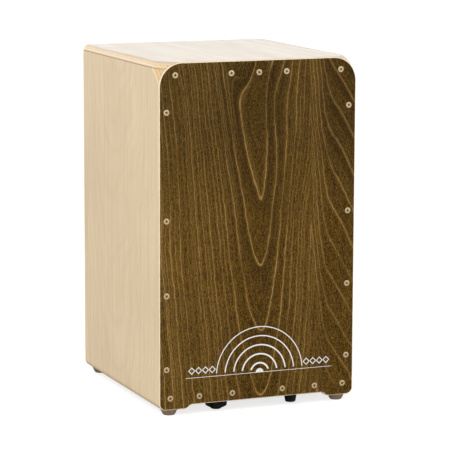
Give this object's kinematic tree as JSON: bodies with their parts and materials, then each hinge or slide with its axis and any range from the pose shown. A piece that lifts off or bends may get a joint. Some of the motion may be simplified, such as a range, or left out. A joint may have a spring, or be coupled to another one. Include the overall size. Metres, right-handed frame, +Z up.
{
  "type": "cajon",
  "caption": "Plywood box drum with a screwed-on stained striking plate, rounded seat, round rear sound hole, rubber feet and snare strings tuned by knobs underneath.",
  "frame": {"origin": "on the floor under the middle of the box", "axes": "+Z up, the striking plate faces -Y, +X to the right seen from in front"},
  "size_m": [0.3, 0.321, 0.5],
  "materials": {
    "stained_plate": "dark walnut-stained birch plywood, satin lacquer",
    "birch_plywood": "clear satin-lacquered birch plywood",
    "batten_wood": "planed softwood, unfinished",
    "screw_yellow_zinc": "yellow-passivated steel",
    "zinc_steel": "bright zinc-plated steel",
    "foot_rubber": "smoky taupe rubber, slightly translucent",
    "knob_plastic": "black moulded plastic, satin",
    "bush_nylon": "natural nylon",
    "ferrule_brass": "plain brass",
    "string_wire": "wound guitar wire",
    "tuner_aluminium": "satin aluminium"
  },
  "bodies": {
    "box": {"anchor_screws": "zinc_steel", "back_bottom_batten": "batten_wood", "back_left_batten": "batten_wood", "back_panel": "birch_plywood", "back_right_batten": "batten_wood", "back_screws": "screw_yellow_zinc", "back_top_batten": "batten_wood", "bottom_panel": "birch_plywood", "bracket_screws": "zinc_steel", "foot_back_left": "foot_rubber", "foot_back_right": "foot_rubber", "foot_front_left": "foot_rubber", "foot_front_right": "foot_rubber", "foot_screws": "zinc_steel", "foot_washers": "zinc_steel", "front_bottom_batten": "batten_wood", "front_left_batten": "batten_wood", "front_plate": "stained_plate", "front_right_batten": "batten_wood", "front_top_batten": "batten_wood", "left_bottom_cleat": "batten_wood", "left_grub_screws": "zinc_steel", "left_guide_bracket": "zinc_steel", "left_knob_washer": "zinc_steel", "left_rod_bush": "bush_nylon", "left_side_panel": "birch_plywood", "left_skid": "birch_plywood", "left_string_anchor": "tuner_aluminium", "left_strings": "string_wire", "left_top_cleat": "batten_wood", "plate_screws_bottom": "screw_yellow_zinc", "plate_screws_left": "screw_yellow_zinc", "plate_screws_right": "screw_yellow_zinc", "plate_screws_top": "screw_yellow_zinc", "right_bottom_cleat": "batten_wood", "right_grub_screws": "zinc_steel", "right_guide_bracket": "zinc_steel", "right_knob_washer": "zinc_steel", "right_rod_bush": "bush_nylon", "right_side_panel": "birch_plywood", "right_skid": "birch_plywood", "right_string_anchor": "tuner_aluminium", "right_strings": "string_wire", "right_top_cleat": "batten_wood", "seat_panel": "birch_plywood"},
    "left_tuner": {"left_tuning_knob": "knob_plastic", "left_tension_rod": "zinc_steel", "left_lock_nut": "zinc_steel"},
    "left_carriage": {"left_string_carriage": "tuner_aluminium", "left_string_ferrules": "ferrule_brass"},
    "right_tuner": {"right_tuning_knob": "knob_plastic", "right_tension_rod": "zinc_steel", "right_lock_nut": "zinc_steel"},
    "right_carriage": {"right_string_carriage": "tuner_aluminium", "right_string_ferrules": "ferrule_brass"}
  },
  "joints": [
    {"name": "left_knob_turn", "type": "hinge", "parent": "box", "child": "left_tuner", "pos_m": [-0.058, -0.145, 0.03], "axis": [0, 0, 1], "range_deg": [-990, 990]},
    {"name": "left_carriage_slide", "type": "slide", "parent": "box", "child": "left_carriage", "axis": [0, 0, 1], "range_m": [-0.00276, 0.00276], "deforming": ["left_strings"]},
    {"name": "right_knob_turn", "type": "hinge", "parent": "box", "child": "right_tuner", "pos_m": [0.058, -0.145, 0.03], "axis": [0, 0, 1], "range_deg": [-990, 990]},
    {"name": "right_carriage_slide", "type": "slide", "parent": "box", "child": "right_carriage", "axis": [0, 0, 1], "range_m": [-0.00276, 0.00276], "deforming": ["right_strings"]}
  ],
  "couplings": [
    {"joint": "left_carriage_slide", "follows": "left_knob_turn", "m_per_rad": -0.00015915},
    {"joint": "right_carriage_slide", "follows": "right_knob_turn", "m_per_rad": -0.00015915}
  ]
}
